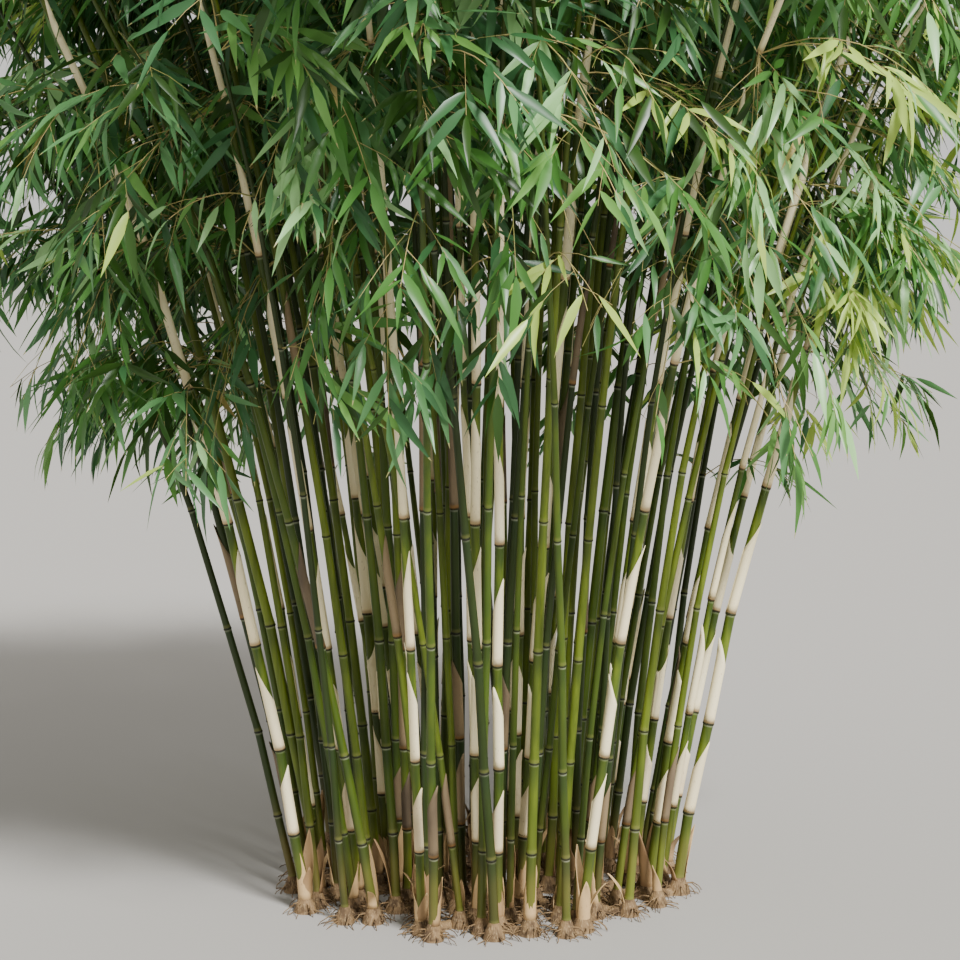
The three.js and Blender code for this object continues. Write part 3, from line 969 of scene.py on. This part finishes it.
BRANCH_REACHES = (0.6, 0.85)
BRANCH_SINKS = (-0.1, 0.55)
BRANCH_LIFTS = (0.16, 0.34)
SHORTENINGS = (1, 0.75, 0.5)
TOP_SHORTENING = 0.3
UPRIGHT_FROM = 0.75
BRANCH_RADII = (0.0012, 0.0006)
BRANCH_STEPS = 7
TWIG_SPACING = 0.045
TWIG_SHARES = (0.22, 0.97)
TWIG_LENGTHS = (0.04, 0.12)
TWIG_SHORTENING = 0.35
TWIG_FORWARDS = 0.8
TWIG_TURNS = (0.4, 1.0)
TWIG_RISE = 0.5
TWIG_DROOPS = (0.0, 0.45)
TWIG_ARCH = 0.1
TWIG_RADII = (0.0006, 0.0004)
TWIG_STEPS = 2
LEAST_SIDEWAYS = 0.05
LEAST_OUTWARDS = 0.001
LEAVES_PER_FAN = (3.5, 7)
TIP_FAN_SCALE = 1.05
SIDE_LEAF_SCALE = 0.95
LEAF_LENGTHS = (0.056, 0.108)
LEAF_WIDTHS = (0.85, 1.15)
LEAF_SPACING = 0.012
LEAF_MIDDLE = 0.55
LEAF_TURNS = (0.35, 1.25)
LEAF_DROOPS = (0.0, 1.15)
TIP_LEAF_DROOPS = (0.05, 0.5)
LEAF_LIFT = 0.6
FACING_UP = 0.5
FACING_OUT = 0.75
FACING_STRAY = 1.3
LIMB_CLEARANCE = 0.005
# The arch and the twist of each shape of leaf.
LEAF_STYLES = ((0.04, 0.1), (0.1, -0.25), (0.18, 0.2), (0.3, -0.1), (0.08, 0.5))
SPRAY_TONES = ("deep", "dusk", "mid", "blue", "grass", "pale", "lime")
TONES = (*SPRAY_TONES, "dry")
STRAY_TONE_SHARE = 0.38
INSIDE_DEPTH = 0.5
MIDDLE_WIDTH = 0.5
DRY_TIP_SHARE = 0.3

Branch = namedtuple("Branch", "points tone tier")


def crown_reach(height):
    """The crown narrows downwards like a vase and closes upwards like a dome."""
    if height > WIDEST_HEIGHT:
        rise = min(1, (height - WIDEST_HEIGHT) / (CROWN_TOP - WIDEST_HEIGHT))
        return WIDEST_REACH * math.sqrt(1 - rise**2)
    drop = (WIDEST_HEIGHT - height) / (WIDEST_HEIGHT - CROWN_BOTTOM)
    return mix(WIDEST_REACH, LOWEST_REACH, max(0, drop) ** VASE_POWER)


def in_crown(point):
    """Whether a point lies inside the crown, and inside the box of the solids."""
    low, high = solid_box
    if point.z < CROWN_BOTTOM or math.hypot(point.x, point.y) > crown_reach(point.z):
        return False
    return all(low[i] - BOX_MARGIN < point[i] < high[i] + BOX_MARGIN for i in range(3))


cane_tree_samples = [sample for cane in all_canes for sample in samples_of(cane.joints)]
cane_tree = KDTree(len(cane_tree_samples))
for index, (point, radius) in enumerate(cane_tree_samples):
    cane_tree.insert(point, index)
cane_tree.balance()


def touches_cane(point):
    """Whether a point lies on or close to a cane, judged by the nearest sample of it."""
    _, index, distance = cane_tree.find(point)
    if distance > CANE_SAMPLE:
        return False
    return distance < cane_tree_samples[index][1] + LIMB_CLEARANCE


# Some canes show through the foliage, which parts in front of them.
SHOWN_MAIN_CANES = (5, 10, 17, 18, 20, 25)
SHOWN_SLENDER_CANES = (19, 22, 59)
SIGHT_STEP = 0.02
PARTING_WIDTH = 0.012
PARTING_SHARE = 0.8


def heights_of(cane):
    """Where a cane is at each small step of height from the ground."""
    points = []
    for low, high in pairwise(cane.joints):
        while len(points) * SIGHT_STEP < high.point.z:
            points.append(at_height(low, high, len(points) * SIGHT_STEP)[0])
    return points


shown_canes = [main_canes[index] for index in SHOWN_MAIN_CANES]
shown_canes += [slender_canes[index] for index in SHOWN_SLENDER_CANES]
shown_lines = [heights_of(cane) for cane in shown_canes]
front_eye = Vector((0, -CAMERA_DISTANCE, CAMERA_HEIGHT))


def hides_shown_cane(point):
    """Whether a point stands before one of the shown canes, seen from the front."""
    for line in shown_lines:
        row = int(point.z / SIGHT_STEP)
        if row >= len(line) or point.y > line[row].y:
            continue
        distance = (line[row].y - front_eye.y) / (point.y - front_eye.y)
        behind = front_eye + (point - front_eye) * distance
        row = int(behind.z / SIGHT_STEP)
        if row < len(line) and abs(behind.x - line[row].x) < PARTING_WIDTH:
            return True
    return False


masses = {tier: [f"{tier}_foliage_{k + 1}" for k in range(count)] for tier, count, *_ in TIERS}
mass_centres = []
for tier, count, radius, height, turn in TIERS:
    for number in range(count):
        azimuth = (number + turn) / count * 2 * math.pi
        mass_centres.append((polar(radius, azimuth, height), tier))


def tier_of(point):
    """The tier whose mass holds a point in its cell."""
    return min(mass_centres, key=lambda mass: (mass[0] - point).length)[1]


def arching(start, end, rise, steps):
    """Points along an arc whose middle is lifted."""
    control = start.lerp(end, 0.5) + UP * rise
    shares = [step / steps for step in range(steps + 1)]
    return [start.lerp(control, s).lerp(control.lerp(end, s), s) for s in shares]


def outwards_at(point):
    """The level direction away from the middle of the clump, and forwards for the middle itself."""
    flat = at_level(point)
    return flat.normalized() if flat.length > LEAST_OUTWARDS else Vector((0, -1, 0))


def sideways_of(along, point):
    """The level direction across a twig, or for an upright one across the way outwards."""
    sideways = along.cross(UP)
    if sideways.length < LEAST_SIDEWAYS:
        sideways = along.cross(outwards_at(point))
    return sideways.normalized()


def tone_of(point, dice, tones=TONES):
    """Painted light: deep tones in the shade inside and before the canes, sunlit pale ones outside,
    backlit yellow-green on the right.
    """
    depth = crown_reach(point.z) - math.hypot(point.x, point.y)
    inside = min(1, depth / INSIDE_DEPTH)
    right = max(0, point.x) / WIDEST_REACH
    front = max(0, -point.y) / WIDEST_REACH
    middle = max(0, 1 - abs(point.x) / MIDDLE_WIDTH) if point.y < 0 else 0
    # Painted shade and light: deep and dusk greens gather inside the crown and in its front middle,
    # pale and lime ones outside, at the front and on the right.
    weights = {
        "deep": 0.4 + 2.2 * inside - 0.3 * right + 0.6 * middle,
        "dusk": 0.9 + 0.4 * inside - 0.7 * right + 0.8 * middle,
        "mid": 1.2,
        "blue": 1.1 - 0.9 * right,
        "grass": (0.45 + 1.3 * right) * (1 - 0.6 * middle),
        "pale": (0.3 + (0.8 * front + 1.6 * right) * (1 - inside)) * (1 - 0.8 * middle),
        "lime": (0.15 + 2.8 * right * (1 - 0.6 * inside)) * (1 - 0.8 * middle),
        "dry": 0.04,
    }
    left = dice.draw() * sum(weights[tone] for tone in tones)
    for tone in tones:
        left -= weights[tone]
        if left <= 0:
            return tone
    return tones[0]


twig_lines = {tier: [] for tier in masses}
leaf_spots = {(tier, tone): [] for tier in masses for tone in TONES}


def grow_leaf(root, direction, scale, branch, dice):
    """One leaf, if it has room. Its face turns up and outwards."""
    length = scale * dice.between(*LEAF_LENGTHS)
    tip = root + direction * length
    middle = root.lerp(tip, LEAF_MIDDLE)
    if not in_crown(tip) or touches_cane(tip) or touches_cane(middle):
        return
    if any(map(hides_shown_cane, (root, middle, tip))) and dice.draw() < PARTING_SHARE:
        return
    roll = Vector([dice.draw() - 0.5 for _ in range(3)])
    faces = UP * FACING_UP + outwards_at(root) * FACING_OUT + roll * FACING_STRAY
    size = (length, length * dice.between(*LEAF_WIDTHS), length)
    style = int(dice.draw() * len(LEAF_STYLES))
    if dice.draw() < DRY_TIP_SHARE:
        style += len(LEAF_STYLES)
    tone = branch.tone
    if dice.draw() < STRAY_TONE_SHARE:
        tone = tone_of(root, dice)
    leaf_spots[branch.tier, tone].append(Spot(root, direction, faces, size, style, 0.0))


def grow_fan(line, scale, branch, dice):
    """Leaves on alternate sides of the last stretch of a twig, and one at its tip."""
    tip = line[-1]
    along = (line[-1] - line[-2]).normalized()
    sideways = sideways_of(along, tip)
    count = round(dice.between(*LEAVES_PER_FAN))
    grow_leaf(tip, (along - UP * dice.between(*TIP_LEAF_DROOPS)).normalized(), scale, branch, dice)
    for number in range(1, count):
        root = tip - along * (number * LEAF_SPACING)
        turn = dice.between(*LEAF_TURNS) * by_turns(number)
        lift = sideways.cross(along) * (LEAF_LIFT * (dice.draw() - 0.5))
        direction = along + sideways * turn - UP * dice.between(*LEAF_DROOPS) + lift
        grow_leaf(root, direction.normalized(), scale * SIDE_LEAF_SCALE, branch, dice)


def grow_twigs(branch, dice):
    """Twigs on alternate sides of a branch, shorter towards its tip, and a fan at its own tip."""
    points = branch.points
    length = sum((b - a).length for a, b in pairwise(points))
    count = max(2, round(length * (1 - TWIG_SHARES[0]) / TWIG_SPACING))
    grow_fan(points, TIP_FAN_SCALE, branch, dice)
    for number in range(count):
        share = mix(*TWIG_SHARES, number / count)
        place = share * (len(points) - 1)
        step = int(place)
        start = points[step].lerp(points[step + 1], place - step)
        along = (points[step + 1] - points[step]).normalized()
        sideways = sideways_of(along, start)
        direction = along * TWIG_FORWARDS + sideways * by_turns(number) * dice.between(*TWIG_TURNS)
        direction += sideways.cross(along) * dice.between(-TWIG_RISE, TWIG_RISE)
        reach = dice.between(*TWIG_LENGTHS) * (1 - TWIG_SHORTENING * share)
        end = start + direction.normalized() * reach - UP * reach * dice.between(*TWIG_DROOPS)
        if not in_crown(end) or touches_cane(end):
            continue
        line = arching(start, end, reach * TWIG_ARCH, TWIG_STEPS)
        twig_lines[branch.tier].append(tapering(line, *TWIG_RADII))
        grow_fan(line, 1, branch, dice)


def has_room(line):
    """Whether a branch may grow along a line. Its first stretch leaves its own cane."""
    return in_crown(line[-1]) and not any(touches_cane(point) for point in line[2:])


def grow_along(line, tone, dice):
    """A branch along a line, with its twigs and leaves."""
    branch = Branch(line, tone, tier_of(line[-1]))
    twig_lines[branch.tier].append(tapering(line, *BRANCH_RADII))
    grow_twigs(branch, dice)


def grow_branch(joint, heading, height_share, dice):
    """One branch from a joint. It sets off upwards and outwards, arches over and hangs."""
    length = dice.between(*BRANCH_LENGTHS) * (1 - TOP_SHORTENING * height_share)
    upright = max(0, height_share - UPRIGHT_FROM) * 2
    reach = length * dice.between(*BRANCH_REACHES) * (1 - upright)
    sink = length * (dice.between(*BRANCH_SINKS) - upright)
    root = joint.point + polar(joint.radius * BRANCH_ROOTING, heading, 0)
    for shortening in SHORTENINGS:
        end = root + polar(reach, heading, -sink) * shortening
        line = arching(root, end, length * dice.between(*BRANCH_LIFTS) * shortening, BRANCH_STEPS)
        if has_room(line):
            grow_along(line, tone_of(end, dice, SPRAY_TONES), dice)
            return


for index, cane in enumerate(all_canes):
    dice = Dice(BRANCH_SEED + index)
    outward = outwards_at(cane.joints[0].point)
    side_on = outward.x * cane.spread
    back = max(0, outward.y) * cane.spread
    flank_drop = max(-LEFT_DROP * side_on, RIGHT_DROP * side_on)
    first_leafy = mix(*FIRST_LEAFY, cane.spread) - flank_drop - BACK_DROP * back
    first_leafy += dice.between(-FIRST_LEAFY_JITTER, FIRST_LEAFY_JITTER)
    filling = FILLING_HEIGHT + FLANK_FILLING_HEIGHT * abs(side_on)
    foot = cane.joints[0].point.z
    top = cane.joints[-1].point.z
    for number, joint in enumerate(cane.joints[2:-1]):
        height = joint.point.z
        if height < first_leafy:
            continue
        outward = outwards_at(joint.point)
        fullness = min(1, (height - first_leafy) / filling)
        inner = math.hypot(joint.point.x, joint.point.y) < INNER_REACH
        for _ in range(round(mix(LOWEST_BRANCHES, dice.between(*BRANCHES_PER_JOINT), fullness))):
            turn = by_turns(number) * dice.between(*BRANCH_TURNS)
            jitter = dice.between(-HEADING_JITTER, HEADING_JITTER)
            heading = math.atan2(outward.y, outward.x) + turn + jitter
            if height > INNER_BOTTOM and (inner or dice.draw() < INWARD_SHARE):
                heading = dice.between(0, 2 * math.pi)
            grow_branch(joint, heading, (height - foot) / (top - foot), dice)
    tip = cane.joints[-1].point
    tip_line = arching(cane.joints[-2].point, tip, 0, 2)
    tip_branch = Branch(tip_line, tone_of(tip, dice, SPRAY_TONES), tier_of(tip))
    if in_crown(tip):
        grow_twigs(tip_branch, dice)

# The long sprays. The strongest branches of the outer canes hang free of the rest, in front of them.
# A row holds the place of a spray's tip, its tone, and how many branches it has.
# Their tones paint light and shade: pale for sunlit sprays high at the front and on the right, dusk for
# shaded ones, mostly low down.
LONG_SPRAYS = (
    ((-0.24, -0.64, 1.08), "pale", 3),
    ((-0.13, -0.62, 0.86), "blue", 2),
    ((-0.28, -0.6, 0.88), "mid", 2),
    ((-0.22, -0.56, 0.8), "dusk", 1),
    ((-0.42, -0.46, 0.74), "dusk", 2),
    ((-0.04, -0.6, 1.06), "dusk", 1),
    ((0.04, -0.58, 0.77), "dusk", 1),
    ((0.3, -0.58, 0.8), "mid", 1),
    ((0.1, -0.66, 1.06), "mid", 3),
    ((0.07, -0.6, 0.84), "blue", 1),
    ((0.37, -0.62, 1.05), "pale", 3),
    ((0.4, -0.55, 0.78), "mid", 1),
    ((-0.45, -0.5, 0.95), "mid", 2),
    ((-0.52, -0.36, 0.76), "mid", 2),
    ((-0.62, -0.3, 0.84), "blue", 2),
    ((-0.66, -0.1, 0.78), "dusk", 2),
    ((-0.74, -0.2, 0.96), "blue", 2),
    ((0.5, -0.4, 0.76), "grass", 2),
    ((0.53, -0.35, 0.84), "lime", 2),
    ((0.58, -0.1, 0.86), "pale", 2),
)
SPRAY_SEED = 2100
SPRAY_SCATTER = 0.07
SPRAY_ROOT_RISE = (0.16, 0.5)
SPRAY_LIFT = 0.12
SPRAY_TRIES = 6

dice = Dice(SPRAY_SEED)
outer_joints = [joint for cane in main_canes for joint in cane.joints]
low, high = SPRAY_ROOT_RISE
for place, tone, count in LONG_SPRAYS:
    for _ in range(count):
        end = Vector(place) + Vector([dice.between(-SPRAY_SCATTER, SPRAY_SCATTER) for _ in range(3)])
        reachable = [joint for joint in outer_joints if low < joint.point.z - end.z < high]
        reachable.sort(key=lambda joint: (joint.point - end).length)
        for joint in reachable[:SPRAY_TRIES]:
            line = arching(joint.point, end, SPRAY_LIFT, BRANCH_STEPS)
            if has_room(line):
                grow_along(line, tone, dice)
                break

# The twigs. They are the branches' thin wiry ends, pale as straw, and greener where they are young.
TWIG_SIDES = 3
TWIG_STRAW = 0xB9A66A
TWIG_GREEN = 0x8A8F45


def twig_material():
    """Wiry twig: straw-coloured, greener in places."""
    material, wire, shader = new_material("twig")
    patches = wire.place().noise((14, 14, 14)).between(0.4, 0.65)
    colour = wire.flat(TWIG_STRAW).towards(patches * 0.8, TWIG_GREEN)
    feed(shader, {"Base Color": colour, "Roughness": 0.6})
    return material


twig_finish = twig_material()
for tier, solids in masses.items():
    twigs = swept(f"{tier}_twigs", lines_guide(twig_lines[tier]), TWIG_SIDES, twig_finish)
    settle(twigs, "leaf", *solids)

# The leaves. Each is a slim blade, folded along its midrib and drawn out to a long tip that dries to
# straw. Each spray has its own green: deep greens as painted shade inside, pale ones as painted
# sunlight.
LEAF_ROWS = ((0.0, 0.0), (0.1, 0.55), (0.32, 1.0), (0.62, 0.7), (0.91, 0.16), (1.0, 0.0))
LEAF_WIDTH = 0.145
LEAF_FOLD = 0.28
LEAF_ROUGHNESS = 0.37
LEAF_THROUGH = 0.3
ARCH_SHORTENING = 0.6
# The deep and dusk greens are painted shade, and the pale and lime ones are painted sunlight and
# backlight, dealt out by place. The blue green is in part a painted bluish sheen.
LEAF_GREENS = {
    "deep": 0x315219,
    "dusk": 0x3D6B3E,
    "mid": 0x4D8037,
    "blue": 0x5B8E55,
    "grass": 0x6FA24D,
    "pale": 0x9BCB86,
    "lime": 0xB2CD5F,
    "dry": 0xC2AE6A,
}
TIP_STRAW = 0xB5B274


def leaf_pattern(rows, arch, twist):
    """Some rows of a leaf of unit length: a midrib between two raised edges, arched and twisted."""
    points = []
    for along, share in rows:
        half = share * LEAF_WIDTH / 2
        turn = twist * along
        sag = -arch * along**2
        height = along * (1 - ARCH_SHORTENING * arch**2 * along)
        for side in (-1, 0, 1) if share else (0,):
            level = abs(side) * half * LEAF_FOLD
            across = side * half
            x = sag + level * math.cos(turn) - across * math.sin(turn)
            y = level * math.sin(turn) + across * math.cos(turn)
            points.append((x, y, height))
    starts = [sum(3 if share else 1 for _, share in rows[:row]) for row in range(len(rows))]
    faces = []
    for (a, b), (low, high) in zip(pairwise(starts), pairwise(rows)):
        if not low[1]:
            faces += [(a, b + 1, b), (a, b + 2, b + 1)]
        elif not high[1]:
            faces += [(a, a + 1, b), (a + 1, a + 2, b)]
        else:
            faces += [(a, a + 1, b + 1, b), (a + 1, a + 2, b + 2, b + 1)]
    mesh = bpy.data.meshes.new("leaf")
    mesh.from_pydata(points, [], faces)
    mesh.shade_smooth()
    return mesh


def leaf_material(name, code):
    """Plain satin leaf that lets a little light through."""
    material, wire, shader = new_material(name)
    feed(shader, {"Base Color": paint(code), "Roughness": LEAF_ROUGHNESS})
    through = wire.node("ShaderNodeBsdfTranslucent", None, {"Color": paint(code)})
    front = Wire(wire.tree, shader.outputs[0])
    both = wire.node("ShaderNodeMixShader", None, {0: LEAF_THROUGH, 1: front, 2: through})
    feed(wire.tree.nodes["Material Output"], {"Surface": both})
    return material


# The first shapes are whole leaves. The others end where a dry tip, a piece of its own, goes on.
whole_count = len(LEAF_STYLES)
blade_styles = [(rows, *style) for rows in (LEAF_ROWS, LEAF_ROWS[:-1]) for style in LEAF_STYLES]
tip_styles = [(LEAF_ROWS[-2:], *style) for style in LEAF_STYLES]
blade_shapes = pattern_collection("blade_pattern", leaf_pattern, blade_styles)
tip_shapes = pattern_collection("tip_pattern", leaf_pattern, tip_styles)
leaf_finishes = {tone: leaf_material(f"{tone}_leaf", LEAF_GREENS[tone]) for tone in TONES}
tip_finish = leaf_material("dry_tip", TIP_STRAW)
for tier, solids in masses.items():
    tips = []
    for tone in TONES:
        spots = leaf_spots[tier, tone]
        if spots:
            leaves = scattered(f"{tier}_leaves_{tone}", spots, blade_shapes, leaf_finishes[tone])
            settle(leaves, "leaf", *solids)
            cut = [spot for spot in spots if spot.pattern >= whole_count]
            tips += [spot._replace(pattern=spot.pattern - whole_count) for spot in cut]
    settle(scattered(f"{tier}_leaf_tips", tips, tip_shapes, tip_finish), "leaf")

# The studio. A plain pale floor under soft light: a broad sun from the front right, and a pale sky.
FLOOR_SIZE = 600
FLOOR_PALE = 0xA19E99
SKY_PALE = 0xF7F5F1
SKY_STRENGTH = 0.92
SUN_STRENGTH = 7.3
SUN_ANGLE = math.radians(12)
SUN_FROM = Vector((0.45, -0.8, 0.92))

half = FLOOR_SIZE / 2
corners = [(-half, -half, 0), (half, -half, 0), (half, half, 0), (-half, half, 0)]
floor_mesh = bpy.data.meshes.new("floor")
floor_mesh.from_pydata(corners, [], [(0, 1, 2, 3)])
floor = put_in_scene("floor", floor_mesh)
floor_finish, _, floor_shader = new_material("pale_floor")
feed(floor_shader, {"Base Color": paint(FLOOR_PALE), "Roughness": 1.0, "Specular IOR Level": 0.0})
floor_mesh.materials.append(floor_finish)

sun = put_in_scene("sun", bpy.data.lights.new("sun", "SUN"))
sun.data.energy = SUN_STRENGTH
sun.data.angle = SUN_ANGLE
sun.rotation_mode = "QUATERNION"
sun.rotation_quaternion = SUN_FROM.to_track_quat("Z", "Y")

sky = bpy.data.worlds.new("sky")
sky.use_nodes = True
feed(sky.node_tree.nodes["Background"], {"Color": paint(SKY_PALE), "Strength": SKY_STRENGTH})
bpy.context.scene.world = sky
